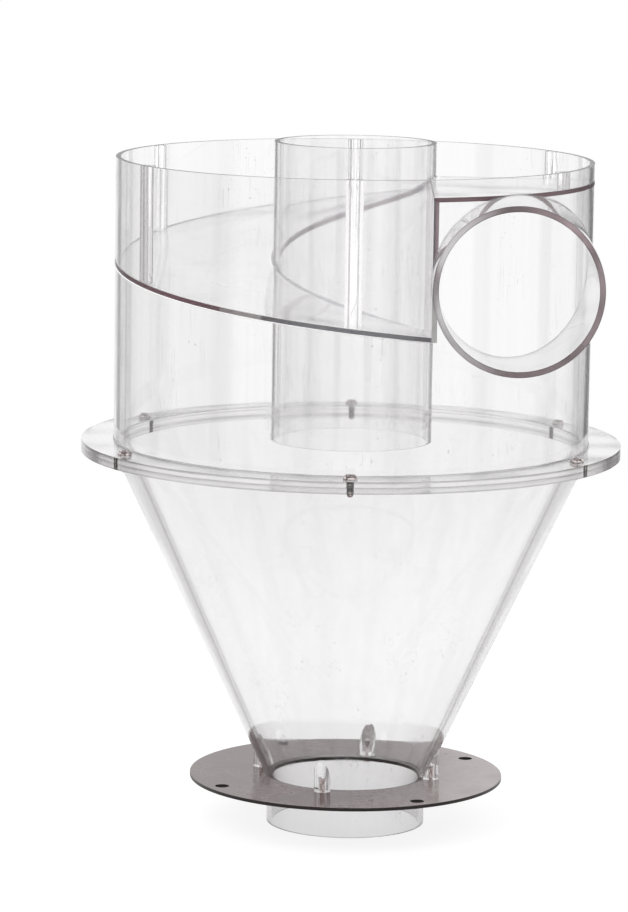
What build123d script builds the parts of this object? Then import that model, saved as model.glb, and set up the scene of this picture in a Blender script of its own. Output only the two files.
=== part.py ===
# Clear plastic cyclone dust separator, with a spiral roof and a tangential inlet.
# Millimetres. The axis of the separator is Z, with the origin on it at the dust spigot's bottom
# end. The inlet tube runs along Y, on the +X side, and its mouth faces -Y.

import os
from math import cos, radians, sin

from build123d import *

os.makedirs("parts", exist_ok=True)

# Barrel and rim: one clear cylinder, cut in two by the roof's edge
barrel_od = 286.0
barrel_wall = 3.0
barrel_height = 169.7           # from the upper flange's top to the open rim

# Outlet tube, on the axis, from above the rim down to the level of the flange's top
outlet_od = 97.0
outlet_wall = 3.0
outlet_above_rim = 10.0

# Inlet tube, along Y, with its top level with the roof's top
inlet_od = 97.0
inlet_wall = 3.4
inlet_reach = 175.0             # from the separator's axis to the inlet's mouth
inlet_setback = 1.5             # the tube's outer side stands this far inside the barrel's side
inlet_hole_clearance = 0.5      # the hole in the barrel is this much wider than the bore, each side

# Roof: flat over the inlet, then one turn of a helix down to the foot of the step wall
roof_below_rim = 10.0
roof_thickness = 2.6
roof_drop = 100.0               # what the roof would fall in one whole turn
step_wall = 2.7
step_inset = 0.8                # the step wall's right face stands this far inside the tube's side

# Two flanges, one on the barrel and one on the cone
flange_lip = 19.5               # how far both stand out from the barrel
flange_thickness = 3.6

# Cone
cone_height = 198.4
cone_top_step = 0.2             # the cone's top stands this far outside the barrel
cone_foot_step = 1.65           # the cone's foot stands this far outside the dust spigot
cone_wall = 3.0

# Dust spigot and the disc round it
spigot_od = 96.0
spigot_wall = 3.0
spigot_length = 27.7            # from the bottom end to the disc's underside
disc_od = 190.0
disc_thickness = 2.0
disc_hole_d = 8.5
disc_hole_inset = 9.5           # from the disc's edge to the holes' axes
disc_hole_count = 4
disc_hole_angle = 30.0

# Bosses inside the rim, for a lid or a bracket
rim_boss_count = 6
rim_boss_angle = -90.0
rim_boss_d = 10.0
rim_boss_inset = 0.2            # from the barrel's inside to the bosses' axes, so they are half round
rim_pilot_inset = 2.4           # from the barrel's inside to the pilot holes' axes
rim_pilot_mouth_d = 3.2
rim_pilot_mouth_depth = 4.0     # the straight part, above the taper
rim_pilot_tip_d = 1.4
rim_pilot_depth = 36.0
rim_pilot_floor = 2.0           # plastic that is left under the pilot hole of a short boss

# Bosses between the disc and the cone
cone_boss_count = 4
cone_boss_angle = -105.0
cone_boss_d = 10.0
cone_boss_offset = 3.85         # from the cone's foot to the bosses' axes

# Screws through the two flanges
flange_screw_count = 6
flange_screw_angle = -90.0
flange_screw_inset = 9.5        # from the flange's rim to the screws' axes
flange_screw_d = 4.0
flange_screw_head_d = 8.4
flange_screw_head_height = 3.0
flange_screw_end = 3.0          # what shows below the lower flange

# Screws from below the disc into the cone bosses
disc_screw_d = 3.0
disc_screw_head_d = 7.0
disc_screw_head_height = 2.2
disc_screw_depth = 8.0          # how far the screw goes into its boss
disc_screw_tip_gap = 1.0        # empty pilot hole beyond the screw's end

# Bevel and cross recess of both sorts of screw, as shares of the head
head_bevel_share = 0.4
recess_length_share = 0.55
recess_width_share = 0.15
recess_depth_share = 0.55

# Clearances
screw_clearance = 0.2           # between a screw's shank and a plain hole, each side
thread_clearance = 0.05         # between a screw's core and its pilot hole, each side
overrun = 5.0                   # how far every cutting shape runs past what it cuts

# Levels and radii that follow from the sizes above
disc_top = spigot_length + disc_thickness
cone_top = disc_top + cone_height
flange_joint = cone_top + flange_thickness
barrel_bottom = flange_joint + flange_thickness
rim = barrel_bottom + barrel_height
outlet_top = rim + outlet_above_rim
roof_top = rim - roof_below_rim
roof_bottom = roof_top - roof_thickness
barrel_r = barrel_od / 2
barrel_bore_r = barrel_r - barrel_wall
outlet_r = outlet_od / 2
inlet_r = inlet_od / 2
inlet_bore_r = inlet_r - inlet_wall
inlet_x = barrel_r - inlet_setback - inlet_r
inlet_z = roof_top - inlet_r
flange_od = barrel_od + 2 * flange_lip
flange_screw_circle_d = flange_od - 2 * flange_screw_inset
rim_boss_circle_d = 2 * (barrel_bore_r - rim_boss_inset)
rim_pilot_circle_d = 2 * (barrel_bore_r - rim_pilot_inset)
spigot_bore_r = spigot_od / 2 - spigot_wall
cone_top_od = barrel_od + 2 * cone_top_step
cone_bottom_od = spigot_od + 2 * cone_foot_step
cone_boss_circle_d = cone_bottom_od + 2 * cone_boss_offset
disc_hole_circle_d = disc_od - 2 * disc_hole_inset
step_right = outlet_r - step_inset
step_left = step_right - step_wall


def save(piece, name):
    """Label a finished piece and write it as a STEP file of the same name."""
    piece.label = name
    export_step(piece, f"parts/{name}.step")


def angles(count, first):
    """The angles of count evenly spaced places, the first one at first."""
    return [first + turn * 360 / count for turn in range(count)]


def on_circle(diameter, angle, level):
    """The point at this angle on a level circle about the axis."""
    return (diameter / 2 * cos(radians(angle)), diameter / 2 * sin(radians(angle)), level)


def tube(outer_r, bore_r, bottom, top):
    """A plain round tube on the axis, from one level to another."""
    with BuildPart() as body:
        with BuildSketch(Plane.XY.offset(bottom)):
            Circle(outer_r)
            Circle(bore_r, mode=Mode.SUBTRACT)
        extrude(amount=top - bottom)
    return body.part


def spiral_plate(bottom, top):
    """One left-hand turn of a plate between two levels, which falls as it goes round.

    Its section, a rectangle in the XZ plane, is carried by a screw motion about the axis. It
    runs past the outlet tube on one side and past the barrel on the other.
    """
    inner = outlet_r - overrun
    outer = barrel_r + overrun
    with BuildPart() as body:
        with BuildLine():
            Helix(pitch=roof_drop, height=roof_drop, radius=(inner + outer) / 2,
                  center=(0, 0, top - roof_drop), lefthand=True)
        with BuildSketch(Plane.XZ):
            with Locations(((inner + outer) / 2, (bottom + top) / 2 - roof_drop)):
                Rectangle(outer - inner, top - bottom)
        sweep(is_frenet=True)
    return body.part


# The roof before it is trimmed to the tubes: the spiral stops at the step wall's left face, and
# a flat plate over the inlet takes its place from there to the spiral's start
with BuildPart() as roof_blank:
    add(spiral_plate(roof_bottom, roof_top))
    with BuildSketch(Plane.XY.offset(roof_bottom - roof_drop - overrun)):
        with Locations((step_left, 0)):
            Rectangle(barrel_r, barrel_r + 2 * overrun, align=(Align.MIN, Align.MAX))
    extrude(amount=roof_drop + 2 * overrun, mode=Mode.SUBTRACT)
    with BuildSketch(Plane.XY.offset(roof_bottom)):
        with Locations((step_left, 0)):
            Rectangle(barrel_r, barrel_r + 2 * overrun, align=(Align.MIN, Align.MAX))
    extrude(amount=roof_thickness)

# The step wall before it is trimmed: a slab along Y that meets the outlet tube's side, with its
# foot cut to the slope of the spiral's underside
with BuildPart() as step_blank:
    with BuildSketch(Plane.XY.offset(roof_bottom - roof_drop - overrun)):
        with Locations((step_left, 0)):
            Rectangle(step_wall, barrel_r + overrun, align=(Align.MIN, Align.MAX))
    extrude(amount=roof_drop + overrun)
    add(spiral_plate(roof_bottom - roof_drop, roof_bottom), mode=Mode.SUBTRACT)

# Spiral roof
with BuildPart() as spiral_roof:
    add(tube(barrel_r, outlet_r, barrel_bottom, rim))
    add(roof_blank.part, mode=Mode.INTERSECT)
save(spiral_roof.part, "spiral_roof")

# Step wall, from the barrel's outside to the outlet tube
with BuildPart() as roof_step_wall:
    add(tube(barrel_r, outlet_r, barrel_bottom, rim))
    add(step_blank.part, mode=Mode.INTERSECT)
save(roof_step_wall.part, "roof_step_wall")

# The barrel's cylinder, which the roof and the step wall cut into a lower and an upper part
with BuildPart() as cylinder:
    add(tube(barrel_r, barrel_bore_r, barrel_bottom, rim))
    add(roof_blank.part, mode=Mode.SUBTRACT)
    add(step_blank.part, mode=Mode.SUBTRACT)

with BuildPart() as rim_wall:
    add(cylinder.part.solids().sort_by(Axis.Z)[-1])
save(rim_wall.part, "rim_wall")

# The inlet's mouth, seen from the front: its plane's normal points in along the tube
inlet_mouth = Plane((inlet_x, -inlet_reach, inlet_z), x_dir=(-1, 0, 0), z_dir=(0, 1, 0))

# Barrel wall, with an oval hole a little wider than the inlet's bore, so that the air meets no ledge
with BuildPart() as barrel_shell:
    add(cylinder.part.solids().sort_by(Axis.Z)[0])
    with BuildSketch(inlet_mouth):
        Circle(inlet_bore_r + inlet_hole_clearance)
    extrude(amount=inlet_reach, mode=Mode.SUBTRACT)
save(barrel_shell.part, "barrel_wall")

# Outlet tube
with BuildPart() as vortex_tube:
    add(tube(outlet_r, outlet_r - outlet_wall, barrel_bottom, outlet_top))
save(vortex_tube.part, "vortex_tube")

# Inlet tube, with its inner end cut to the barrel's round side
with BuildPart() as inlet_tube:
    with BuildSketch(inlet_mouth):
        Circle(inlet_r)
        Circle(inlet_bore_r, mode=Mode.SUBTRACT)
    extrude(amount=inlet_reach)
    with BuildSketch(Plane.XY.offset(barrel_bottom)):
        Circle(barrel_r)
    extrude(amount=barrel_height, mode=Mode.SUBTRACT)
save(inlet_tube.part, "inlet_tube")

# Bosses inside the rim, half round, flat to the barrel. Each stands on the roof, so its foot has
# the roof's slope, and its tapered hole is set in from the barrel by itself.
for number, angle in enumerate(angles(rim_boss_count, rim_boss_angle), start=1):
    with BuildPart() as blank:
        with BuildSketch(Plane.XY.offset(barrel_bottom)):
            with Locations(on_circle(rim_boss_circle_d, angle, 0)[:2]):
                Circle(rim_boss_d / 2)
        extrude(amount=barrel_height)
        add(tube(barrel_r + overrun, barrel_bore_r, barrel_bottom, rim), mode=Mode.SUBTRACT)
        add(roof_blank.part, mode=Mode.SUBTRACT)
    with BuildPart() as rim_boss:
        add(blank.part.solids().sort_by(Axis.Z)[-1])
        foot = rim_boss.part.faces().sort_by(Axis.Z)[0].bounding_box().max.Z
        taper = min(rim_pilot_depth, rim - foot - rim_pilot_floor) - rim_pilot_mouth_depth
        with Locations(on_circle(rim_pilot_circle_d, angle, rim)):
            Cylinder(rim_pilot_mouth_d / 2, rim_pilot_mouth_depth,
                     align=(Align.CENTER, Align.CENTER, Align.MAX), mode=Mode.SUBTRACT)
        with Locations(on_circle(rim_pilot_circle_d, angle, rim - rim_pilot_mouth_depth)):
            Cone(rim_pilot_tip_d / 2, rim_pilot_mouth_d / 2, taper,
                 align=(Align.CENTER, Align.CENTER, Align.MAX), mode=Mode.SUBTRACT)
    save(rim_boss.part, f"rim_boss_{number}")


def flange(bottom, hole_d):
    """A flat ring from the barrel's bore out to the flange's rim, with the screws' holes."""
    with BuildPart() as body:
        with BuildSketch(Plane.XY.offset(bottom)):
            Circle(flange_od / 2)
            Circle(barrel_bore_r, mode=Mode.SUBTRACT)
            with PolarLocations(flange_screw_circle_d / 2, flange_screw_count,
                                start_angle=flange_screw_angle):
                Circle(hole_d / 2, mode=Mode.SUBTRACT)
        extrude(amount=flange_thickness)
    return body.part


save(flange(flange_joint, flange_screw_d + 2 * screw_clearance), "upper_flange")
save(flange(cone_top, flange_screw_d + 2 * thread_clearance), "lower_flange")

# Pilot holes for the screws that come up through the disc. They run into the cone's wall.
with BuildPart() as pilots:
    with BuildSketch(Plane.XY.offset(disc_top)):
        with PolarLocations(cone_boss_circle_d / 2, cone_boss_count, start_angle=cone_boss_angle):
            Circle(disc_screw_d / 2 + thread_clearance)
    extrude(amount=disc_screw_depth + disc_screw_tip_gap)
cone_pilots = pilots.part

# Cone: a straight wall of even thickness, from the lower flange down to the disc
with BuildPart() as cone:
    with BuildSketch(Plane.XZ):
        with BuildLine():
            outside = Line((cone_bottom_od / 2, disc_top), (cone_top_od / 2, cone_top))
            wall_level = cone_wall / sin(radians(outside.tangent_angle_at(0)))
            Polyline((cone_top_od / 2, cone_top), (cone_top_od / 2 - wall_level, cone_top),
                     (cone_bottom_od / 2 - wall_level, disc_top),
                     (cone_bottom_od / 2, disc_top))
        make_face()
    revolve(axis=Axis.Z)
    add(cone_pilots, mode=Mode.SUBTRACT)
save(cone.part, "cone_wall")

# Dust spigot
with BuildPart() as dust_spigot:
    add(tube(spigot_od / 2, spigot_bore_r, 0, spigot_length))
save(dust_spigot.part, "dust_spigot")

# Mounting disc, with four holes near its edge and four for the screws from below
with BuildPart() as mounting_disc:
    with BuildSketch(Plane.XY.offset(spigot_length)):
        Circle(disc_od / 2)
        Circle(spigot_bore_r, mode=Mode.SUBTRACT)
        with PolarLocations(disc_hole_circle_d / 2, disc_hole_count, start_angle=disc_hole_angle):
            Circle(disc_hole_d / 2, mode=Mode.SUBTRACT)
        with PolarLocations(cone_boss_circle_d / 2, cone_boss_count, start_angle=cone_boss_angle):
            Circle(disc_screw_d / 2 + screw_clearance, mode=Mode.SUBTRACT)
    extrude(amount=disc_thickness)
save(mounting_disc.part, "mounting_disc")

# Bosses between the disc and the cone, each cut to the cone's outside
with BuildPart() as cone_core:
    with BuildSketch(Plane.XZ):
        with BuildLine():
            Polyline((0, disc_top), (cone_bottom_od / 2, disc_top),
                     (cone_top_od / 2, cone_top), (0, cone_top), close=True)
        make_face()
    revolve(axis=Axis.Z)

for number, angle in enumerate(angles(cone_boss_count, cone_boss_angle), start=1):
    with BuildPart() as cone_boss:
        with BuildSketch(Plane.XY.offset(disc_top)):
            with Locations(on_circle(cone_boss_circle_d, angle, 0)[:2]):
                Circle(cone_boss_d / 2)
        extrude(amount=cone_height)
        add(cone_core.part, mode=Mode.SUBTRACT)
        add(cone_pilots, mode=Mode.SUBTRACT)
    save(cone_boss.part, f"cone_boss_{number}")


def screw(shank_d, length, head_d, head_height):
    """A pan head screw under the XY plane, its head above the plane, with a cross recess."""
    with BuildPart() as body:
        with BuildSketch(Plane.XY):
            Circle(head_d / 2)
        extrude(amount=head_height)
        chamfer(body.edges().group_by(Axis.Z)[-1], head_height * head_bevel_share)
        with BuildSketch(Plane.XY.offset(head_height)):
            Rectangle(head_d * recess_length_share, head_d * recess_width_share)
            Rectangle(head_d * recess_width_share, head_d * recess_length_share)
        extrude(amount=-head_height * recess_depth_share, mode=Mode.SUBTRACT)
        with BuildSketch(Plane.XY):
            Circle(shank_d / 2)
        extrude(amount=-length)
    return body.part


# Screws down through both flanges
flange_screw = screw(flange_screw_d, 2 * flange_thickness + flange_screw_end,
                     flange_screw_head_d, flange_screw_head_height)
for number, angle in enumerate(angles(flange_screw_count, flange_screw_angle), start=1):
    place = on_circle(flange_screw_circle_d, angle, barrel_bottom)
    save(Pos(*place) * flange_screw, f"flange_screw_{number}")

# Screws up through the disc into the cone bosses
disc_screw = screw(disc_screw_d, disc_thickness + disc_screw_depth,
                   disc_screw_head_d, disc_screw_head_height)
for number, angle in enumerate(angles(cone_boss_count, cone_boss_angle), start=1):
    place = on_circle(cone_boss_circle_d, angle, spigot_length)
    save(Pos(*place) * Rot(X=180) * disc_screw, f"disc_screw_{number}")
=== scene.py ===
"""Clear plastic cyclone dust separator: its finishes, its studio and its camera."""

import math

import bpy
import numpy as np
from mathutils import Matrix, Vector


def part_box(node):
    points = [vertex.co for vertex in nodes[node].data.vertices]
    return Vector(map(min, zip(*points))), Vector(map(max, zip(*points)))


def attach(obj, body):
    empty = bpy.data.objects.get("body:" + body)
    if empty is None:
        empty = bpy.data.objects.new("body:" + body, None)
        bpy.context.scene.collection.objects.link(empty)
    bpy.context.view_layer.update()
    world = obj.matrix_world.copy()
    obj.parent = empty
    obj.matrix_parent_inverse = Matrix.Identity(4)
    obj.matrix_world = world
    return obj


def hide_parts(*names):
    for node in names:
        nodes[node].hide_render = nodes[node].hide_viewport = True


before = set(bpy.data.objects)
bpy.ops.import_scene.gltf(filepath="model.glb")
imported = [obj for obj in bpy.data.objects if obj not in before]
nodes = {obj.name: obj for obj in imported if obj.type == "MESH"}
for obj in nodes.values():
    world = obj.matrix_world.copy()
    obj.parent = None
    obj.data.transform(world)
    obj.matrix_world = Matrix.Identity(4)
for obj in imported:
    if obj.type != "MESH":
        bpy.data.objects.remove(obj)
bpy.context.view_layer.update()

# Camera: some 2.6 m in front of the separator and 0.63 m above its foot, with a long lens. Its
# turns are about the vertical, down to the middle of the separator, and a slight tilt.
CAMERA_PLACE = Vector((0.0, -2.6213, 0.63355))
CAMERA_YAW = math.radians(-0.484)
CAMERA_PITCH = math.radians(8.867)
CAMERA_ROLL = math.radians(0.859)
FOCAL_LENGTH = 173.43
SENSOR_WIDTH = 36.0

forward = Vector((math.sin(CAMERA_YAW) * math.cos(CAMERA_PITCH),
                  math.cos(CAMERA_YAW) * math.cos(CAMERA_PITCH), -math.sin(CAMERA_PITCH)))
level_right = Vector((math.cos(CAMERA_YAW), -math.sin(CAMERA_YAW), 0.0))
level_up = level_right.cross(forward)
right = math.cos(CAMERA_ROLL) * level_right + math.sin(CAMERA_ROLL) * level_up
up = -math.sin(CAMERA_ROLL) * level_right + math.cos(CAMERA_ROLL) * level_up
turn = Matrix((right, up, -forward)).transposed().to_4x4()
camera = bpy.data.objects.new("camera", bpy.data.cameras.new("camera"))
camera.data.lens = FOCAL_LENGTH
camera.data.sensor_width = SENSOR_WIDTH
camera.data.clip_end = 100.0
camera.matrix_world = Matrix.Translation(CAMERA_PLACE) @ turn
bpy.context.scene.collection.objects.link(camera)
bpy.context.scene.camera = camera

# Light paths: a look through both sides of the barrel and of the outlet tube crosses many faces,
# and light that runs along inside a sheet is mirrored over and over. The bright patches that a
# curved wall gathers on another face are left out, since they would show as grain.
MANY_BOUNCES = 24
scene = bpy.context.scene
scene.view_settings.view_transform = "Standard"
scene.cycles.max_bounces = MANY_BOUNCES
scene.cycles.transmission_bounces = MANY_BOUNCES
scene.cycles.transparent_max_bounces = MANY_BOUNCES
scene.cycles.glossy_bounces = MANY_BOUNCES
scene.cycles.caustics_reflective = False
scene.cycles.caustics_refractive = False


class Value:
    """One output of a shader node. Sums and products of values add the Math nodes for them."""

    def __init__(self, socket):
        self.socket = socket

    @staticmethod
    def node(tree, kind, settings=(), inputs=(), output=0):
        """Add any node: its settings first, then the values or links of its sockets."""
        made = tree.nodes.new(kind)
        for key, setting in dict(settings).items():
            if key == "stops":
                ramp = made.color_ramp
                while len(ramp.elements) < len(setting):
                    ramp.elements.new(1.0)
                for element, (place, level) in zip(ramp.elements, setting):
                    element.position, element.color = place, (level, level, level, 1.0)
            else:
                setattr(made, key, setting)
        for key, value in dict(inputs).items():
            if isinstance(value, Value):
                tree.links.new(value.socket, made.inputs[key])
            else:
                made.inputs[key].default_value = value
        return Value(made.outputs[output]) if made.outputs else made

    def also(self, output):
        """Another output of the same node."""
        return Value(self.socket.node.outputs[output])

    def parts(self):
        """The X, Y and Z of this place or direction."""
        first = Value.node(self.socket.id_data, "ShaderNodeSeparateXYZ", (), {0: self})
        return first, first.also("Y"), first.also("Z")

    def ramp(self, stops):
        """The grey level at this value, from pairs of a position and a level."""
        return Value.node(self.socket.id_data, "ShaderNodeValToRGB", {"stops": stops}, {0: self})

    def maths(self, operation, *others):
        """A Math node with this value first."""
        inputs = dict(enumerate((self, *others)))
        return Value.node(self.socket.id_data, "ShaderNodeMath", {"operation": operation}, inputs)

    def __add__(self, other):
        return self.maths("ADD", other)

    def __mul__(self, other):
        return self.maths("MULTIPLY", other)

    def __sub__(self, other):
        return self.maths("SUBTRACT", other)

    def __rsub__(self, other):
        return (self * -1.0) + other

    def __abs__(self):
        return self.maths("ABSOLUTE")

    __radd__ = __add__
    __rmul__ = __mul__

    def steps(self, low, high, at_low=0.0, at_high=1.0):
        """This value, spread smoothly from one span to another and held at the ends."""
        return Value.node(self.socket.id_data, "ShaderNodeMapRange", {"interpolation_type": "SMOOTHSTEP"},
                          {"Value": self, "From Min": low, "From Max": high,
                           "To Min": at_low, "To Max": at_high})

    def towards(self, other, share):
        """This value, moved by a share of the way to another."""
        return self + (other - self) * share

    @staticmethod
    def blend(tree, share, one, other):
        """A colour that goes from one to another as the share goes from 0 to 1.

        Of the Mix node's sockets, 6 and 7 are the two colours and output 2 is the blended one.
        """
        return Value.node(tree, "ShaderNodeMix", {"data_type": "RGBA"}, {0: share, 6: one, 7: other}, 2)

    def noise(self, scale, detail):
        """A Noise Texture at this place: the number of waves a metre, and its finer layers."""
        return Value.node(self.socket.id_data, "ShaderNodeTexNoise", (),
                          {"Vector": self, "Scale": scale, "Detail": detail}, "Fac")


def new_tree(owner):
    """An empty shader tree for a material or a world."""
    owner.use_nodes = True
    owner.node_tree.nodes.clear()
    return owner.node_tree


# World: a white backdrop for the camera. What the plastic and the metal mirror is a white room,
# with grey cards and dark gaps at the sides, below the level of the eye, and a duller ceiling.
BACKDROP = 1.0
ROOM_SIDES, ROOM_TOP = 0.34, 1.25
WALLS, CEILING = 0.95, 0.4
CEILING_EDGE = (0.45, 0.9)      # over this span of a direction's height the walls go over into it
CARDS_EDGE = (-0.02, 0.08)      # and the cards into the walls
CARDS = ((0.0, 0.97), (0.03, 0.92), (0.045, 0.12), (0.12, 0.14), (0.16, 0.6), (0.22, 0.85),
         (0.30, 0.95), (0.683, 1.0), (0.686, 0.2), (0.80, 0.14), (0.90, 0.3), (0.945, 0.9))
# What is seen through the plastic: eight white panels all round with dark gaps between them,
# which show where a rod or an edge bends the look aside
PANELS = 8
PANELS_FADE = 0.5               # how far they fade above the cards' edge
THROUGH_PANEL = ((0.0, 1.0), (0.36, 0.98), (0.41, 0.20), (0.59, 0.20), (0.64, 0.98), (1.0, 1.0))

world = bpy.data.worlds.new("studio")
scene.world = world
tree = new_tree(world)
camera_ray = Value.node(tree, "ShaderNodeLightPath", output="Is Camera Ray")
east, north, height = Value.node(tree, "ShaderNodeTexCoord", output="Generated").parts()
heading = (east * -1.0).maths("ARCTAN2", north * -1.0) * (0.5 / math.pi) + 0.5
walls = height.steps(*CEILING_EDGE, WALLS, CEILING)
mirrored = heading.ramp(CARDS).towards(walls, height.steps(*CARDS_EDGE))
panel = (heading * PANELS).maths("FRACT")
through = panel.ramp(THROUGH_PANEL).towards(walls, height.steps(*CARDS_EDGE) * PANELS_FADE)
room = height.steps(0.0, CEILING_EDGE[1], ROOM_SIDES, ROOM_TOP)
level = room.towards(mirrored, camera_ray.also("Is Glossy Ray"))
level = level.towards(through, camera_ray.also("Is Transmission Ray"))
level = level.towards(BACKDROP, camera_ray)
studio = Value.node(tree, "ShaderNodeBackground", (), {"Color": (1.0, 1.0, 1.0, 1.0), "Strength": level})
Value.node(tree, "ShaderNodeOutputWorld", (), {"Surface": studio})

# Floor: a white sweep that fades into the backdrop, with the separator's soft shadow on it
FLOOR_RADIUS, FLOOR_SIDES = 1.5, 96
FADE_FROM, FADE_TO = 0.3, 0.95  # of the radius
FLOOR_COLOUR = (0.20, 0.20, 0.20, 1.0)
FLOOR_GLOW = 0.87
FLOOR_THROUGH_SHARE = 0.85      # of that glow, seen through the plastic

angle = np.linspace(0, 2 * math.pi, FLOOR_SIDES, endpoint=False)
ring = np.column_stack((np.cos(angle), np.sin(angle), np.zeros_like(angle))) * FLOOR_RADIUS
mesh = bpy.data.meshes.new("floor")
mesh.from_pydata(ring.tolist(), [], [list(range(len(ring)))])
floor = bpy.data.objects.new("floor", mesh)
scene.collection.objects.link(floor)
material = bpy.data.materials.new("white_sweep")
material.cycles.emission_sampling = "NONE"
tree = new_tree(material)
camera_ray = Value.node(tree, "ShaderNodeLightPath", output="Is Camera Ray")
seen = camera_ray.maths("MAXIMUM", camera_ray.also("Is Glossy Ray"))
seen = seen.maths("MAXIMUM", camera_ray.also("Is Transmission Ray") * FLOOR_THROUGH_SHARE)
place = Value.node(tree, "ShaderNodeTexCoord", output="Object")
far = Value.node(tree, "ShaderNodeVectorMath", {"operation": "LENGTH"}, {0: place}, "Value")
paper = Value.node(tree, "ShaderNodeBsdfDiffuse", (), {"Color": FLOOR_COLOUR})
glow = Value.node(tree, "ShaderNodeEmission", (), {"Strength": seen * FLOOR_GLOW})
lit = Value.node(tree, "ShaderNodeAddShader", (), {0: paper, 1: glow})
gone = Value.node(tree, "ShaderNodeBsdfTransparent")
fade = Value.node(tree, "ShaderNodeMixShader", (),
                  {0: far.steps(FLOOR_RADIUS * FADE_FROM, FLOOR_RADIUS * FADE_TO), 1: lit, 2: gone})
Value.node(tree, "ShaderNodeOutputMaterial", (), {"Surface": fade})
mesh.materials.append(material)

# Lamps: a large soft box over the front, and a long strip at each side
LAMPS = {
    "front_box": ((-0.9, -1.6, 1.9), (1.2, 1.2), 12.0),
    "left_strip": ((-1.5, 0.3, 0.9), (0.3, 1.4), 4.0),
    "right_strip": ((1.5, 0.5, 0.9), (0.3, 1.4), 4.0),
}
AIM = Vector((0.0, 0.0, 0.22))
for name, (place, size, power) in LAMPS.items():
    lamp = bpy.data.lights.new(name, "AREA")
    lamp.shape = "RECTANGLE"
    lamp.size, lamp.size_y = size
    lamp.energy = power
    holder = bpy.data.objects.new(name, lamp)
    holder.location = place
    holder.rotation_euler = (AIM - Vector(place)).to_track_quat("-Z", "Y").to_euler()
    holder.visible_glossy = False
    holder.visible_transmission = False
    scene.collection.objects.link(holder)


# Dust spigot: the short pipe under the disc that the dust falls through, cut from clear extruded
# tube. A sawn end of such tube is matt, and the draw of the die leaves faint lines along it.
CLEAR_IOR = 1.49
CLEAR_TONE = (0.994, 0.993, 0.995, 1.0)         # what one wall lets through, looked at straight
CLEAR_INSIDE = (0.80, 0.76, 0.765, 1.0)
CLEAR_DENSITY = 12.0                            # a metre
SHADOW_PASS = (0.93, 0.93, 0.93, 1.0)
JOINT_GAP = 2e-5                                # half the air left between two pieces
SAWN_ROUGHNESS = 0.32
SAWN_GREY = (0.62, 0.61, 0.62, 1.0)
SILHOUETTE_SHADE = (0.10, 0.075, 0.085, 1.0)
BAND_WAVES, LINE_WAVES, SCRATCH_WAVES = 22.0, 260.0, 1400.0     # a metre, across the draw
HAZE_WAVES, SPECK_WAVES = 35.0, 620.0                           # a metre
LINE_SHADE, SCRATCH_SHADE, SPECK_SHADE = 0.015, 0.15, 0.35      # how much each darkens
BAND_HEIGHT, LINE_HEIGHT, WAVE_STRENGTH = 0.0012, 0.00002, 0.25
HAZE_ROUGHNESS = (0.02, 0.06)
SCRATCH_ROUGHNESS = 0.2
# Painted shade: the darker band along the sides of a thin round wall, by how far it turns away from the eye
WALL_TURN = ((0.0, 1.0), (0.60, 0.99), (0.685, 0.93), (0.70, 0.60), (0.715, 0.86), (0.90, 0.84),
             (0.96, 0.74), (1.0, 0.5))


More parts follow.
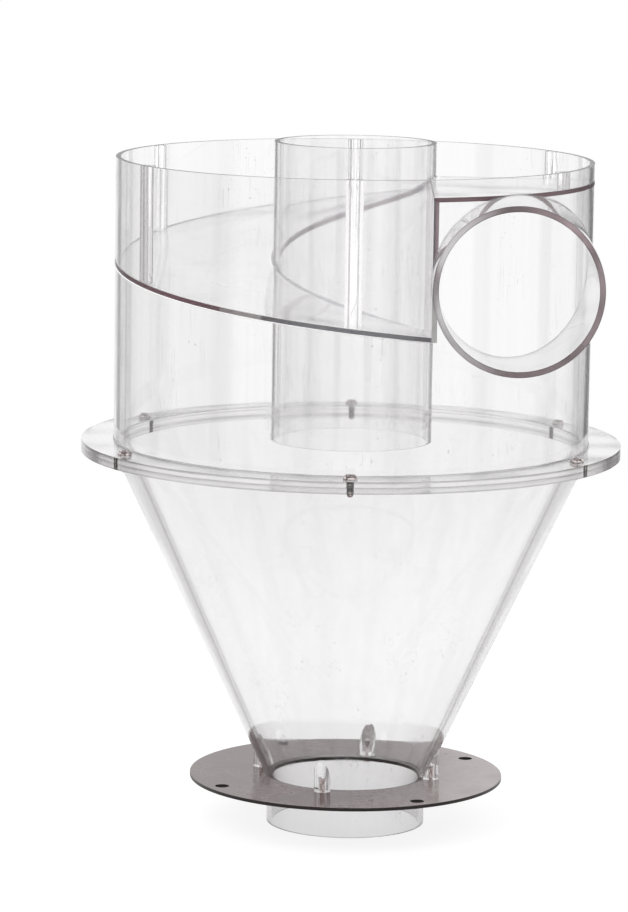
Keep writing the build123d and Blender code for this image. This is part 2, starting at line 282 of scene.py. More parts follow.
def clear_plastic(name, sawn, sawn_colour=SAWN_GREY, draw=(1.0, 1.0, 0.03), turn=WALL_TURN,
                  tone=CLEAR_TONE, banding=0.97, drawn_lines=1.0, sawn_roughness=SAWN_ROUGHNESS,
                  glow=None):
    """Clear plastic sheet or tube, with draw lines, haze, scratches, specks and matt sawn ends.

    sawn is a function of the facing of the surface, which gives 1 on the sawn faces, and
    sawn_colour is their colour, or a function of the tree and the place. draw squeezes the pattern
    of the draw lines, so that they run along the axis with the small number. banding is the
    darkest shade between them and drawn_lines how deep they are. turn is painted shade, the
    darkening towards the silhouettes. glow is a function of the place and the turn away from the
    eye, which gives painted light: an emission for the light that runs inside the plastic and
    comes out there. It lights nothing else.
    """
    material = bpy.data.materials.new(name)
    material.cycles.emission_sampling = "NONE"
    tree = new_tree(material)
    place = Value.node(tree, "ShaderNodeTexCoord", output="Object")
    ends = sawn(place.also("Normal"))
    cut = sawn_colour(tree, place) if callable(sawn_colour) else sawn_colour
    drawn = Value.node(tree, "ShaderNodeVectorMath", {"operation": "MULTIPLY"}, {0: place, 1: draw})
    bands, lines = drawn.noise(BAND_WAVES, 0.0), drawn.noise(LINE_WAVES, 1.0)
    haze = place.noise(HAZE_WAVES, 1.0)
    scratches = drawn.noise(SCRATCH_WAVES, 0.0).steps(0.70, 0.78) * haze.steps(0.55, 0.68)
    specks = place.noise(SPECK_WAVES, 0.0).steps(0.80, 0.83) * haze.steps(0.56, 0.62)
    away = Value.node(tree, "ShaderNodeLayerWeight", (), {"Blend": 0.5}, "Facing")
    shade = lines.steps(0.35, 0.65, 1.0 - LINE_SHADE * drawn_lines, 1.0)
    shade = bands.steps(0.3, 0.7, banding, 1.0) * shade
    shade = shade * (1.0 - scratches * SCRATCH_SHADE) * (1.0 - specks * SPECK_SHADE)
    # Painted shade: towards the silhouettes the colour goes over to a dark mauve, by the turn ramp
    body = Value.blend(tree, ends, Value.blend(tree, away.ramp(turn), SILHOUETTE_SHADE, tone), cut)
    colour = Value.node(tree, "ShaderNodeVectorMath", {"operation": "SCALE"}, {0: body, "Scale": shade})
    roughness = haze.steps(0.35, 0.7, *HAZE_ROUGHNESS) + scratches * SCRATCH_ROUGHNESS
    wave = bands * BAND_HEIGHT + lines * LINE_HEIGHT
    bump = Value.node(tree, "ShaderNodeBump", (),
                      {"Strength": WAVE_STRENGTH * drawn_lines, "Distance": 1.0, "Height": wave})
    inputs = {"Base Color": colour, "Roughness": roughness.towards(sawn_roughness, ends),
              "IOR": CLEAR_IOR, "Transmission Weight": 1.0, "Normal": bump}
    if glow:
        inputs |= {"Emission Color": glow(place, away), "Emission Strength": 1.0}
    plastic = Value.node(tree, "ShaderNodeBsdfPrincipled", (), inputs)
    shadow = Value.node(tree, "ShaderNodeLightPath", output="Is Shadow Ray")
    passed = Value.node(tree, "ShaderNodeBsdfTransparent", (), {"Color": SHADOW_PASS})
    surface = Value.node(tree, "ShaderNodeMixShader", (), {0: shadow, 1: plastic, 2: passed})
    inside = Value.node(tree, "ShaderNodeVolumeAbsorption", (),
                        {"Color": CLEAR_INSIDE, "Density": CLEAR_DENSITY})
    Value.node(tree, "ShaderNodeOutputMaterial", (), {"Surface": surface, "Volume": inside})
    return material


def dress(name, material):
    """Give a node of the frame its material, and draw its faces in by the joint gap."""
    node = nodes[name]
    for slot in node.material_slots:
        slot.material = material
    shrink = node.modifiers.new("joint_gap", "DISPLACE")
    shrink.strength = -JOINT_GAP
    shrink.mid_level = 0.0


def level_ends(facing):
    """1 on the faces that look straight up or down, the sawn ends of an upright tube."""
    return abs(facing.parts()[2]).steps(0.8, 0.9)


# Painted shade: the spigot's plastic is toned darker than the other walls, for the shadow under the disc,
# and its ramp darkens it strongly towards its sides
SPIGOT_SHADED_TONE = (0.83, 0.825, 0.83, 1.0)
SPIGOT_TURN = ((0.0, 0.97), (0.30, 0.92), (0.60, 0.72), (0.90, 0.35), (1.0, 0.2))
dress("dust_spigot", clear_plastic("clear_spigot_tube", level_ends, turn=SPIGOT_TURN, tone=SPIGOT_SHADED_TONE))

# Mounting disc: dark brown glossy plastic plate, cut round, with four open holes near its edge.
# It is scuffed by handling, and mirrors the bosses and the cone that stand on it.
DISC_BROWN = (0.105, 0.071, 0.070, 1.0)
DISC_SCUFFED = (0.18, 0.138, 0.134, 1.0)
DISC_PALER = (0.44, 0.39, 0.38, 1.0)           # paler in patches, towards the right side of the disc
DISC_EDGE = (0.006, 0.005, 0.005, 1.0)
DISC_MIRROR = (0.86, 0.74, 0.73, 1.0)
DISC_IOR = 1.42
PALER_SPAN = (0.015, 0.085)                    # m to the right of the middle
SCUFF_WAVES, MARK_WAVES, DENT_CELLS = 28.0, 160.0, 75.0         # a metre
MARK_TURN, MARK_LENGTH = 0.6, 9.0             # radians, and times their width


def dark_plate(name):
    """Dark glossy plate: clouds of scuffs, short fine scratches, dents and a black sawn edge."""
    material = bpy.data.materials.new(name)
    tree = new_tree(material)
    place = Value.node(tree, "ShaderNodeTexCoord", output="Object")
    edge = 1.0 - level_ends(place.also("Normal"))
    cloud = place.noise(SCUFF_WAVES, 5.0)
    turned = Value.node(tree, "ShaderNodeMapping", (),
                        {0: place, "Rotation": (0, 0, MARK_TURN), "Scale": (1, MARK_LENGTH, 1)})
    scratches = turned.noise(MARK_WAVES, 1.0).steps(0.64, 0.70) * cloud.steps(0.46, 0.56)
    pits = Value.node(tree, "ShaderNodeTexVoronoi", (), {"Vector": place, "Scale": DENT_CELLS}, "Distance")
    dents = pits.steps(0.05, 0.10, 1.0, 0.0) * place.noise(60.0, 0.0).steps(0.5, 0.55)
    scuffs = cloud.steps(0.45, 0.7)
    paler_right = place.parts()[0].steps(*PALER_SPAN) * cloud.steps(0.3, 0.6, 0.6, 1.0)
    colour = Value.blend(tree, scuffs.maths("MAXIMUM", scratches), DISC_BROWN, DISC_SCUFFED)
    colour = Value.blend(tree, paler_right, colour, DISC_PALER)
    # The dents are darkened towards the edge's near black: painted shade in them
    colour = Value.blend(tree, edge.maths("MAXIMUM", dents * 0.7), colour, DISC_EDGE)
    bump = Value.node(tree, "ShaderNodeBump", (), {"Strength": 0.3, "Distance": 0.0004,
                                                   "Height": cloud + scratches * 0.4 - dents * 0.5})
    plate = Value.node(tree, "ShaderNodeBsdfPrincipled", (), {
        "Base Color": colour, "Roughness": scuffs.steps(0.0, 1.0, 0.10, 0.20) + scratches * 0.2 + edge * 0.3,
        "IOR": DISC_IOR, "Specular Tint": DISC_MIRROR, "Normal": bump})
    Value.node(tree, "ShaderNodeOutputMaterial", (), {"Surface": plate})
    return material


for slot in nodes["mounting_disc"].material_slots:
    slot.material = dark_plate("dark_plate")

# Screws from below the disc into the bosses: small pan heads, copper coloured as seen through
# the clear bosses, with a rolled thread along the whole shank.
THREAD_DEPTH_SHARE = 0.2        # of the shank's radius
THREAD_PITCH_SHARE = 0.25       # of the shank's diameter
TIP_LENGTH_SHARE, TIP_R_SHARE = 0.4, 0.72                       # of the shank's radius
HEAD_SIDE_SHARE = 0.25          # the straight side, of the head's height
CROSS_WIDTH_SHARE = 0.17        # the cross recess, as shares of the head's radius and height
CROSS_REACH_SHARE = 0.60
CROSS_DEPTH_SHARE = 0.5
CROSS_EDGE, CROSS_SLOPE = 1.12, 0.24            # its outer edge and sloping side, of its half width
DOME_POWER = 0.8                # below 1 the dome's shoulder is fuller than an ellipse's
SCREW_COLUMNS, ROWS_A_PITCH, DOME_ROWS = 72, 7, 34
# Painted shade on the screws: how much of their colour is left on the crests, in the roots, on the head's
# side and in the cross recess
SHADED_CREST, SHADED_ROOT, SHADED_SIDE, SHADED_CROSS = 1.0, 0.75, 0.5, 0.2
DISC_SCREW_R, DISC_SCREW_HEAD = 0.0015, 0.0022
COPPER = (0.90, 0.76, 0.73, 1.0)
COPPER_ROUGHNESS = 0.16
GRIME_SHARES = (0.30, 0.26, 0.26)
MOTTLE_WAVES = 800.0            # a metre
SHARP_ANGLE = math.radians(35)


def bright_metal(name, colour, roughness):
    """Bright plated metal, mottled by wear, with painted shade in recesses, thread roots and a head's side.
    """
    material = bpy.data.materials.new(name)
    tree = new_tree(material)
    place = Value.node(tree, "ShaderNodeTexCoord", output="Object")
    clean = Value.node(tree, "ShaderNodeAttribute", {"attribute_name": "clean"}, output="Fac")
    cloud = place.noise(MOTTLE_WAVES, 3.0)
    dull = tuple(part * share for part, share in zip(colour[:3], GRIME_SHARES)) + (1.0,)
    body = Value.blend(tree, cloud.steps(0.46, 0.54), colour, dull)
    body = Value.node(tree, "ShaderNodeVectorMath", {"operation": "SCALE"}, {0: body, "Scale": clean})
    bump = Value.node(tree, "ShaderNodeBump", (), {"Strength": 0.3, "Distance": 0.0002, "Height": cloud})
    metal = Value.node(tree, "ShaderNodeBsdfPrincipled", (), {
        "Base Color": body, "Metallic": 1.0, "Roughness": cloud.steps(0.3, 0.7, roughness, roughness * 2),
        "Normal": bump})
    Value.node(tree, "ShaderNodeOutputMaterial", (), {"Surface": metal})
    return material


def surface_piece(name, points, material, closed=False, clean=None):
    """A piece from a grid of points: rows along the first index, each row a closed loop.

    closed joins the last row to the first. Otherwise the first and last rows are shut. Where the
    steps across and onwards make a normal that looks inwards, the rows run the other way round.
    Its last argument gives a number for each point, painted shade that the metal reads.
    """
    across = np.roll(points, -1, 1) - points
    onwards = np.roll(points, -1, 0) - points
    onwards = onwards if closed else onwards[:-1]
    outwards = np.cross(across[:len(onwards)], onwards)
    if np.sum((points[:len(onwards)] - points.mean((0, 1))) * outwards) < 0:
        points = points[:, ::-1]
        clean = None if clean is None else clean[:, ::-1]
    rows, columns = points.shape[:2]
    index = np.arange(rows * columns).reshape(rows, columns)
    index = np.vstack((index, index[:1])) if closed else index
    here, there = index[:-1], index[1:]
    quads = np.stack((here, np.roll(here, -1, 1), np.roll(there, -1, 1), there), -1).reshape(-1, 4)
    faces = quads.tolist()
    if not closed:
        faces += [index[0][::-1].tolist(), index[-1].tolist()]
    mesh = bpy.data.meshes.new(name)
    mesh.from_pydata(points.reshape(-1, 3).tolist(), [], faces)
    mesh.polygons.foreach_set("use_smooth", [True] * len(faces))
    mesh.set_sharp_from_angle(angle=SHARP_ANGLE)
    mesh.materials.append(material)
    if clean is not None:
        mesh.attributes.new("clean", "FLOAT", "POINT").data.foreach_set("value", clean.ravel())
    piece = bpy.data.objects.new(name, mesh)
    scene.collection.objects.link(piece)
    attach(piece, "root")
    return piece


def pan_head_screw(node_name, shank_r, head, material, head_up):
    """A pan head screw in the place of a node, as one surface of revolution with a thread.

    The profile goes from the shank's end to the middle of the head. On the shank the radius is
    the core plus the thread's depth times a triangle wave of (length / pitch - angle / turn), less
    at the tip. On the head it is a full half ellipse over a short straight side, and the height
    there drops by the recess depth where the cross is, with sides that slope.
    """
    low, high = (np.array(corner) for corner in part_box(node_name))
    head_r = (high[0] - low[0]) / 2
    centre = (low + high) / 2
    length = high[2] - low[2] - head
    turn = np.linspace(0, 2 * math.pi, SCREW_COLUMNS, endpoint=False)
    pitch = THREAD_PITCH_SHARE * 2 * shank_r
    down = np.linspace(length, 0, int(length / pitch * ROWS_A_PITCH))[:, None]
    wave = np.abs((down / pitch - turn / (2 * math.pi)) % 1.0 - 0.5) * 2
    tip_length = shank_r * TIP_LENGTH_SHARE
    tip = TIP_R_SHARE + (1 - TIP_R_SHARE) * np.clip(down[0] - down, 0, tip_length) / tip_length
    shank = shank_r * (1 - THREAD_DEPTH_SHARE * (1 - wave)) * tip
    rise = np.linspace(0, math.pi / 2, DOME_ROWS)[:, None]
    dome_r = head_r * np.cos(rise) ** DOME_POWER + 0 * turn
    dome_z = head * (HEAD_SIDE_SHARE + (1 - HEAD_SIDE_SHARE) * np.sin(rise)) + 0 * turn
    across, along = dome_r * np.cos(turn), dome_r * np.sin(turn)
    arm, reach = head_r * CROSS_WIDTH_SHARE, head_r * CROSS_REACH_SHARE
    near = np.minimum(np.maximum(np.abs(across) / arm, np.abs(along) / reach),
                      np.maximum(np.abs(along) / arm, np.abs(across) / reach))
    recess = np.clip((CROSS_EDGE - near) / CROSS_SLOPE, 0, 1)
    dome_z = dome_z - head * CROSS_DEPTH_SHARE * recess
    radius = np.vstack((shank, head_r + 0 * turn[None], dome_r[:-1]))
    level = np.vstack((0 * turn - down, 0 * turn[None], dome_z[:-1]))
    # Painted shade: darker in the thread's roots, on the head's side and most in the cross recess
    clean = np.vstack((SHADED_ROOT + (SHADED_CREST - SHADED_ROOT) * wave, SHADED_SIDE + 0 * turn[None],
                       SHADED_CREST + (SHADED_CROSS - SHADED_CREST) * recess[:-1]))
    side = 1.0 if head_up else -1.0
    seat = high[2] - head if head_up else low[2] + head
    points = np.stack((centre[0] + radius * np.cos(turn), centre[1] + side * radius * np.sin(turn),
                       seat + side * level), -1)
    screw = surface_piece(f"{node_name}_threaded", points, material, clean=clean)
    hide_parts(node_name)


copper = bright_metal("copper_plate", COPPER, COPPER_ROUGHNESS)
for number in range(1, 5):
    pan_head_screw(f"disc_screw_{number}", DISC_SCREW_R, DISC_SCREW_HEAD, copper,
                   head_up=False)

# Bosses between the disc and the cone: turned clear rods, cemented to the cone's slope, with a
# blind hole up the middle for the screw. A solid rod bends light much more than a wall does.
# Painted shade and light on the bosses: this ramp darkens them towards their sides, and the glow is an
# emission in their middle, in a bright line at each side and on the cemented slope
ROD_TURN = ((0.0, 1.0), (0.20, 0.99), (0.27, 0.60), (0.35, 0.85), (0.55, 0.60), (1.0, 0.30))
ROD_GLOW = ((0.0, 0.04), (0.20, 0.02), (0.30, 0.0), (0.38, 0.12), (0.50, 0.06), (1.0, 0.0))
SLOPE_GLOW = 0.16


def rod_glow(place, away):
    """Painted light, an emission: in the middle of a rod, in a bright line at each side, and in clouds on
    the cemented slope.
    """
    upwards = place.also("Normal").parts()[2]
    slope = upwards.steps(0.25, 0.35) * upwards.steps(0.7, 0.8, 1.0, 0.0)
    glow_cloud = place.noise(400.0, 2.0).steps(0.35, 0.65, 0.4, 1.0)
    return away.ramp(ROD_GLOW) + slope * glow_cloud * SLOPE_GLOW


boss_rod = clear_plastic("clear_boss_rod", level_ends, turn=ROD_TURN, banding=1.0, drawn_lines=0.0,
                         glow=rod_glow)
for number in range(1, 5):
    dress(f"cone_boss_{number}", boss_rod)

# Cone: clear sheet formed over a mould and cemented to the lower flange and to the disc. The
# stretch of forming leaves slow waves along its slope.
CONE_TONE = (0.945, 0.943, 0.945, 1.0)
# Painted shade: the cone darkens towards its silhouettes by this ramp of the turn away from the eye
CONE_TURN = ((0.0, 1.0), (0.60, 0.98), (0.66, 0.88), (0.685, 0.25), (0.71, 0.55), (0.90, 0.50),
             (1.0, 0.3))
dress("cone_wall", clear_plastic("clear_formed_sheet", level_ends, draw=(0.6, 0.6, 0.1), turn=CONE_TURN,
                                 tone=CONE_TONE))

# Flanges: two flat rings cut from thicker clear sheet. Their sawn rims have been polished. The grey
# lines on the rims and the paler ones in the bore are painted light and shade, by height, for the
# light that runs along inside the sheet and comes out there.
RIM_SHADE_BANDS = ((0.0, 0.45), (0.06, 0.85), (0.18, 0.96), (0.30, 0.78), (0.46, 0.48), (0.52, 0.42),
              (0.58, 0.80), (0.75, 0.98), (0.90, 0.94), (0.96, 0.40), (1.0, 0.32))
BORE_SHADE_BANDS = ((0.0, 0.80), (0.25, 0.90), (0.45, 0.98), (1.0, 1.0))
SHADE_BAND_DRIFT = 0.12              # how far the painted bands wander, of the height of both flanges
RIM_ROUGHNESS = 0.10
# Painted shade: flat sheet darkens a little where it turns far from the eye
FLAT_TURN = ((0.0, 1.0), (0.9, 0.98), (1.0, 0.9))
flange_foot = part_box("lower_flange")[0][2]
flange_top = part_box("upper_flange")[1][2]
barrel_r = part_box("barrel_wall")[1][1]


def upright_faces(facing):
    """1 on the faces that stand upright, the rims and holes of a flat plate."""
    return abs(facing.parts()[2]).steps(0.3, 0.5, 1.0, 0.0)


def distance_from_axis(place, *centre):
    """How far a place is from the upright axis, or from the one through x, z along the inlet."""
    tree = place.socket.id_data
    mask = (1.0, 0.0, 1.0) if centre else (1.0, 1.0, 0.0)
    middle = (centre[0], 0.0, centre[1]) if centre else (0.0, 0.0, 0.0)
    flat = Value.node(tree, "ShaderNodeVectorMath", {"operation": "MULTIPLY"}, {0: place, 1: mask})
    return Value.node(tree, "ShaderNodeVectorMath", {"operation": "DISTANCE"}, {0: flat, 1: middle}, "Value")


def rim_shade_bands(tree, place):
    """Painted light and shade: grey bands on the two rims, by height, and paler ones in the bore."""
    drift = (place.noise(14.0, 2.0) - 0.5) * SHADE_BAND_DRIFT
    level = place.parts()[2].steps(flange_foot, flange_top) + drift
    outside = distance_from_axis(place).steps(barrel_r, barrel_r + 0.001)
    return Value.blend(tree, outside, level.ramp(BORE_SHADE_BANDS), level.ramp(RIM_SHADE_BANDS))


flange_sheet = clear_plastic("clear_flange_sheet", upright_faces, sawn_colour=rim_shade_bands,
                             draw=(0.3, 1.0, 1.0), turn=FLAT_TURN, sawn_roughness=RIM_ROUGHNESS)
dress("lower_flange", flange_sheet)
dress("upper_flange", flange_sheet)

# Screws through both flanges: bright plated steel with pan heads and a cross recess. They hold
# the barrel on the cone, and their ends show below the lower flange.
FLANGE_SCREW_R, FLANGE_SCREW_HEAD = 0.002, 0.003
STEEL = (0.80, 0.74, 0.73, 1.0)
STEEL_ROUGHNESS = 0.08
steel = bright_metal("nickel_plate", STEEL, STEEL_ROUGHNESS)
for number in range(1, 7):
    pan_head_screw(f"flange_screw_{number}", FLANGE_SCREW_R, FLANGE_SCREW_HEAD, steel,
                   head_up=True)

# Barrel: a length of wide clear tube that stands on the upper flange, cut off above by the roof.
# A bead of cement runs round its foot.
CEMENT_GREY = (0.93, 0.925, 0.94, 1.0)
CEMENT_CLOUD = (0.62, 0.61, 0.64, 1.0)
CEMENT_ROUGHNESS = 0.28
BUBBLE_CELLS = 420.0            # a metre
BEAD_ROWS = 6
BEAD_SWELLS = ((0.18, 5, 0), (0.14, 13, 1), (0.1, 37, 0))       # share of the size, waves, start
FOOT_BEAD, FOOT_STEPS = 0.0006, 240


def everywhere(facing):
    """1 on every face."""
    return 1.0


def cement_clouds(tree, place):
    """Pale cement with darker clouds and small round bubbles."""
    bubbles = Value.node(tree, "ShaderNodeTexVoronoi", (),
                         {"Vector": place, "Scale": BUBBLE_CELLS}, "Distance")
    dark = place.noise(45.0, 3.0).steps(0.50, 0.68).maths("MAXIMUM", bubbles.steps(0.15, 0.25, 0.5, 0.0))
    return Value.blend(tree, dark, CEMENT_GREY, CEMENT_CLOUD)


def cement_bead(name, corner, one_way, other_way, size, material, closed=False):
    """A bead of cement in the corner between two pieces, carried along a path.

    Its section is hollow, a quarter circle from the one piece to the other: the corner plus the
    size times (1 - sin u) of the one way and (1 - cos u) of the other. The corner closes it. The
    size swells and shrinks a little along the path, as cement does that is laid by hand.
    """
    turn = np.linspace(0, math.pi / 2, BEAD_ROWS)[None, :, None]
    one_way, other_way = one_way[:, None], other_way[:, None]
    along = np.linspace(0, 2 * math.pi, len(corner), endpoint=False)[:, None, None]
    laid = size * (1 + sum(share * np.sin(waves * along + start) for share, waves, start in BEAD_SWELLS))
    arc = corner[:, None] + laid * ((1 - np.sin(turn)) * one_way + (1 - np.cos(turn)) * other_way)
    points = np.concatenate((arc, corner[:, None]), 1) + 2 * JOINT_GAP * (one_way + other_way)
    return surface_piece(name, points, material, closed=closed)


def round_axis(angle, radius, height):
    """Points at these angles and heights about the axis, and their outward directions."""
    outward = np.column_stack((np.cos(angle), np.sin(angle), np.zeros_like(angle)))
    return outward * radius + np.column_stack((0 * angle, 0 * angle, height + 0 * angle)), outward


dress("barrel_wall", clear_plastic("clear_wide_tube", level_ends))
cement = clear_plastic("dried_cement", everywhere, sawn_colour=cement_clouds, turn=FLAT_TURN,
                       sawn_roughness=CEMENT_ROUGHNESS)
angle = np.linspace(0, 2 * math.pi, FOOT_STEPS, endpoint=False)
corner, outward = round_axis(angle, barrel_r, flange_top)
upward = np.broadcast_to((0.0, 0.0, 1.0), outward.shape)
cement_bead("barrel_foot_cement", corner, outward, upward, FOOT_BEAD, cement, closed=True)

# Spiral roof and step wall: clear sheet, bent to a helix over the inlet and closed by an upright
# strip. Their sawn edges come out flush with the barrel, brown from the saw and the cement. Along
# the front they go paler grey, with painted light glowing from that stretch, and then darker grey;
# painted light also glows round the outlet tube.
SAWN_BROWN = (0.30, 0.190, 0.216, 1.0)
SAWN_PALE = (0.62, 0.69, 0.65, 1.0)
SAWN_DARK = (0.095, 0.088, 0.10, 1.0)
HOLE_GREY = (0.64, 0.78, 0.755, 1.0)
PALE_FROM, PALE_TO = -0.076, -0.0525
FRONT_EDGE = (-0.02, 0.0)       # where the front half ends
COLOUR_BLUR = 0.001             # the span over which one colour goes over into the next
HOLE_REACH, HOLE_GLOW_REACH = 0.055, 0.050      # from the axis
STEP_FADE = (0.325, 0.352)      # heights
# Painted light: the faint emission on the pale stretch at the front and round the outlet tube
PALE_GLOW, HOLE_GLOW = 0.02, 0.12
ROOF_DROP, ROOF_THICKNESS = 0.1, 0.0026
ROOF_TOP_BEAD, ROOF_UNDER_BEAD = 0.0010, 0.0006
ROOF_BEAD_STEPS, ROOF_BEAD_END = 220, 0.005     # of a turn, short of the step wall
roof_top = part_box("spiral_roof")[1][2]
outlet_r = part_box("vortex_tube")[1][1]
step_left, step_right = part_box("roof_step_wall")[0][0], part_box("roof_step_wall")[1][0]


def roof_edge(tree, place):
    """Brown, but pale and then dark grey along the front, and cement grey round the outlet tube."""
    east, north, _ = place.parts()
    front = north.steps(*FRONT_EDGE, 1.0, 0.0)
    pale = east.steps(PALE_FROM - COLOUR_BLUR, PALE_FROM) * front
    dark = east.steps(PALE_TO - COLOUR_BLUR, PALE_TO + COLOUR_BLUR) * front
    brown = east.steps(step_left, step_left + COLOUR_BLUR)
    hole = distance_from_axis(place).steps(HOLE_REACH, HOLE_REACH + COLOUR_BLUR, 1.0, 0.0)
    colour = Value.blend(tree, pale, SAWN_BROWN, SAWN_PALE)
    colour = Value.blend(tree, dark, colour, SAWN_DARK)
    colour = Value.blend(tree, brown, colour, SAWN_BROWN)
    return Value.blend(tree, hole, colour, HOLE_GREY)


def roof_glow(place, away):
    """Painted light, an emission, on the paler stretch at the front and round the outlet tube."""
    east, north, _ = place.parts()
    axis_distance = distance_from_axis(place)
    pale = east.steps(PALE_FROM - COLOUR_BLUR, PALE_FROM)
    pale = pale * east.steps(PALE_TO - COLOUR_BLUR, PALE_TO + COLOUR_BLUR, 1.0, 0.0)
    outside = axis_distance.steps(barrel_r - 0.0005, barrel_r - 0.0002)
    hole = axis_distance.steps(HOLE_GLOW_REACH, HOLE_GLOW_REACH + COLOUR_BLUR, 1.0, 0.0)
    cloud = place.noise(30.0, 3.0)
    return pale * outside * north.steps(*FRONT_EDGE, PALE_GLOW, 0.0) + hole * cloud * HOLE_GLOW


def step_edge(tree, place):
    """Brown, darker on its left half, which fades to grey below the middle of the inlet."""
    east, _, height = place.parts()
    middle = (step_left + step_right) / 2
    colour = Value.blend(tree, east.steps(middle - 0.0003, middle + 0.0003), SAWN_DARK, SAWN_BROWN)
    return Value.blend(tree, height.steps(*STEP_FADE, 1.0, 0.0), colour, SAWN_PALE)


def front_faces(facing):
    """1 on the faces that look along the inlet, the edges of the upright strip."""
    return abs(facing.parts()[1]).steps(0.5, 0.7)


def roof_level(turns):
    """The height of the roof's top, which rises by the drop over a turn and then stays level."""
    return roof_top - ROOF_DROP * (1 - np.minimum(turns, 1.0))


dress("spiral_roof", clear_plastic("clear_roof_sheet", upright_faces, sawn_colour=roof_edge,
                                   draw=(1.0, 1.0, 1.0), turn=FLAT_TURN, glow=roof_glow))
dress("roof_step_wall", clear_plastic("clear_step_strip", front_faces, sawn_colour=step_edge,
                                      draw=(1.0, 1.0, 0.1), turn=FLAT_TURN))
first_turn = math.acos(step_left / outlet_r) / (2 * math.pi)
turns = np.linspace(first_turn + ROOF_BEAD_END, 1 + first_turn - ROOF_BEAD_END, ROOF_BEAD_STEPS)
corner, outward = round_axis(-2 * math.pi * turns, outlet_r, roof_level(turns))
upward = np.broadcast_to((0.0, 0.0, 1.0), outward.shape)
cement_bead("roof_top_cement", corner, outward, upward, ROOF_TOP_BEAD, cement)
cement_bead("roof_underside_cement", corner - upward * ROOF_THICKNESS, outward, -upward,
            ROOF_UNDER_BEAD, cement)

# White line: a painted highlight under the roof's outer edge, where that edge catches the light.
# It is a thin round bead along that edge, nearly flush with the barrel, white and with a faint glow.
WHITE_LINE_R = 0.0003
WHITE_LINE_STEPS, WHITE_LINE_SIDES = 400, 8
WHITE_LINE_START = 0.002        # of a turn, from the step wall
WHITE_GLOW = 0.3
HIGHLIGHT_WHITE = (0.93, 0.93, 0.93, 1.0)
HIGHLIGHT_DIMMER = (0.70, 0.70, 0.70, 1.0)


def white_line(name):
    """A painted highlight: white, dimmer in clouds, with a faint glow from an emission."""
    material = bpy.data.materials.new(name)
    material.cycles.emission_sampling = "NONE"
    tree = new_tree(material)
    place = Value.node(tree, "ShaderNodeTexCoord", output="Object")
    colour = Value.blend(tree, place.noise(60.0, 2.0).steps(0.45, 0.7), HIGHLIGHT_WHITE, HIGHLIGHT_DIMMER)
    paste = Value.node(tree, "ShaderNodeBsdfPrincipled", (), {
        "Base Color": colour, "Roughness": place.noise(300.0, 1.0).steps(0.3, 0.7, 0.4, 0.6),
        "Emission Color": HIGHLIGHT_WHITE, "Emission Strength": WHITE_GLOW})
    Value.node(tree, "ShaderNodeOutputMaterial", (), {"Surface": paste})
    return material


first_turn = math.acos(step_left / barrel_r) / (2 * math.pi)
turns = np.linspace(first_turn + WHITE_LINE_START, 1.0, WHITE_LINE_STEPS)
corner, outward = round_axis(-2 * math.pi * turns, barrel_r + WHITE_LINE_R + 2 * JOINT_GAP,
                             roof_level(turns) - ROOF_THICKNESS - WHITE_LINE_R)
round_section = np.linspace(0, 2 * math.pi, WHITE_LINE_SIDES, endpoint=False)[None, :, None]
upward = np.broadcast_to((0.0, 0.0, 1.0), outward.shape)
points = corner[:, None] + WHITE_LINE_R * (np.cos(round_section) * outward[:, None]
                                           + np.sin(round_section) * upward[:, None])
surface_piece("roof_edge_white_line", points, white_line("painted_highlight"))

# Rim: the part of the same wide tube that stands above the roof, cut to the roof's slope below
# and cemented to it. Its upper end is sawn level.
RIM_END_GREY = (0.29, 0.28, 0.29, 1.0)
dress("rim_wall", clear_plastic("clear_rim_tube", level_ends, sawn_colour=RIM_END_GREY))

# Outlet tube: clear tube down the axis, open at both ends and cemented into the roof. Its upper
# end shows brown from the saw.
OUTLET_END_BROWN = (0.17, 0.125, 0.135, 1.0)
# Painted shade: the outlet tube darkens towards its silhouettes by this ramp of the turn away from the eye
OUTLET_TURN = ((0.0, 1.0), (0.24, 1.0), (0.32, 0.955), (0.66, 0.93), (0.70, 0.60), (0.72, 0.82),
               (1.0, 0.4))
dress("vortex_tube", clear_plastic("clear_outlet_tube", level_ends, sawn_colour=OUTLET_END_BROWN,
                                   turn=OUTLET_TURN, banding=0.975))

# Inlet tube: clear tube along the front, cut to the barrel's round side and cemented there. Its
# sawn mouth goes from pale on the left to as brown as the roof's edge on the right: painted light
# and shade, as if lit from the front left, over the brown of the saw.
MOUTH_LIT_PALE = (0.97, 0.96, 0.97, 1.0)
MOUTH_SHADED_BROWN = (0.50, 0.36, 0.39, 1.0)
SHADING_FROM, SHADING_TO = -0.8, 0.1                # left to right, of the tube's radius
MOUTH_WALL = 0.0034
MOUTH_LINE_FROM, MOUTH_LINE_TO = 0.0003, 0.0007 # how deep the dark lines lie within the ring
MOUTH_LINE_SHADE = 0.6
SADDLE_BEAD, SADDLE_STEPS = 0.0006, 160
inlet_low, inlet_high = (np.array(corner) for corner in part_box("inlet_tube"))
inlet_r = (inlet_high[2] - inlet_low[2]) / 2
inlet_x, inlet_z = (inlet_low[0] + inlet_high[0]) / 2, (inlet_low[2] + inlet_high[2]) / 2


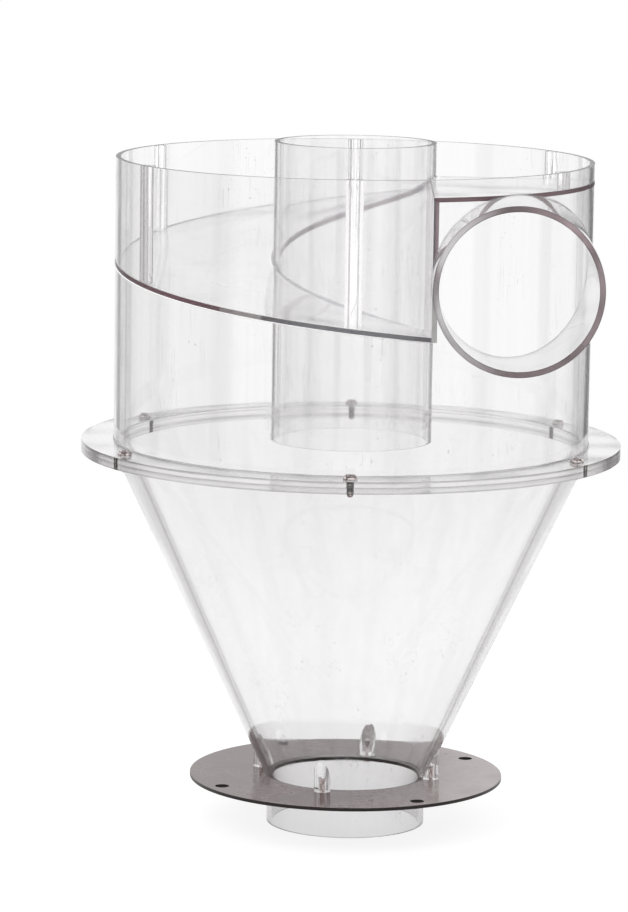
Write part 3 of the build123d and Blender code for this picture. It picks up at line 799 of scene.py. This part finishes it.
def mouth_colour(tree, place):
    """Painted light and shade: pale to brown from left to right, with a darker line along both edges of the
    ring.
    """
    far = distance_from_axis(place, inlet_x, inlet_z)
    bore_r = inlet_r - MOUTH_WALL
    outer_line = far.steps(inlet_r - MOUTH_LINE_TO, inlet_r - MOUTH_LINE_FROM)
    inner_line = far.steps(bore_r + MOUTH_LINE_FROM, bore_r + MOUTH_LINE_TO, 1.0, 0.0)
    # Painted light and shade: the share of brown grows from left to right, as if lit from the front left
    brown = place.parts()[0].steps(inlet_x + inlet_r * SHADING_FROM, inlet_x + inlet_r * SHADING_TO)
    colour = Value.blend(tree, brown, MOUTH_LIT_PALE, MOUTH_SHADED_BROWN)
    return Value.blend(tree, (outer_line + inner_line) * MOUTH_LINE_SHADE, colour, SAWN_DARK)


dress("inlet_tube", clear_plastic("clear_inlet_tube", front_faces, sawn_colour=mouth_colour,
                                  draw=(1.0, 0.03, 1.0)))
angle = np.linspace(0, 2 * math.pi, SADDLE_STEPS, endpoint=False)
way_out = np.column_stack((np.cos(angle), 0 * angle, np.sin(angle)))
corner = np.array((inlet_x, 0, inlet_z)) + way_out * inlet_r
corner[:, 1] = -np.sqrt(barrel_r ** 2 - corner[:, 0] ** 2)
barrel_normal = corner * (1, 1, 0) / barrel_r
along_barrel = way_out - barrel_normal * np.sum(way_out * barrel_normal, 1, keepdims=True)
along_barrel /= np.linalg.norm(along_barrel, axis=1, keepdims=True)
along_tube = np.broadcast_to((0.0, -1.0, 0.0), corner.shape)
cement_bead("inlet_cement", corner, along_tube, along_barrel, SADDLE_BEAD, cement, closed=True)

# Bosses inside the rim, for a lid: clear rods with a tapered hole from above, cemented to the rim.
# Their round sides show as dark lines, painted shade by the ramp below, and painted light, an emission,
# brightens their middle.
RIM_ROD_TURN = ((0.0, 1.0), (0.49, 0.98), (0.55, 0.35), (0.66, 0.15), (0.78, 0.60), (1.0, 0.5))
RIM_ROD_GLOW = 0.12


def rim_rod_glow(place, away):
    """Painted light, an emission, in the middle of the rod."""
    return away.steps(0.08, 0.16, RIM_ROD_GLOW, 0.0)


rim_rod = clear_plastic("clear_rim_rod", level_ends, turn=RIM_ROD_TURN, banding=1.0, drawn_lines=0.0,
                        glow=rim_rod_glow)
for number in range(1, 7):
    dress(f"rim_boss_{number}", rim_rod)
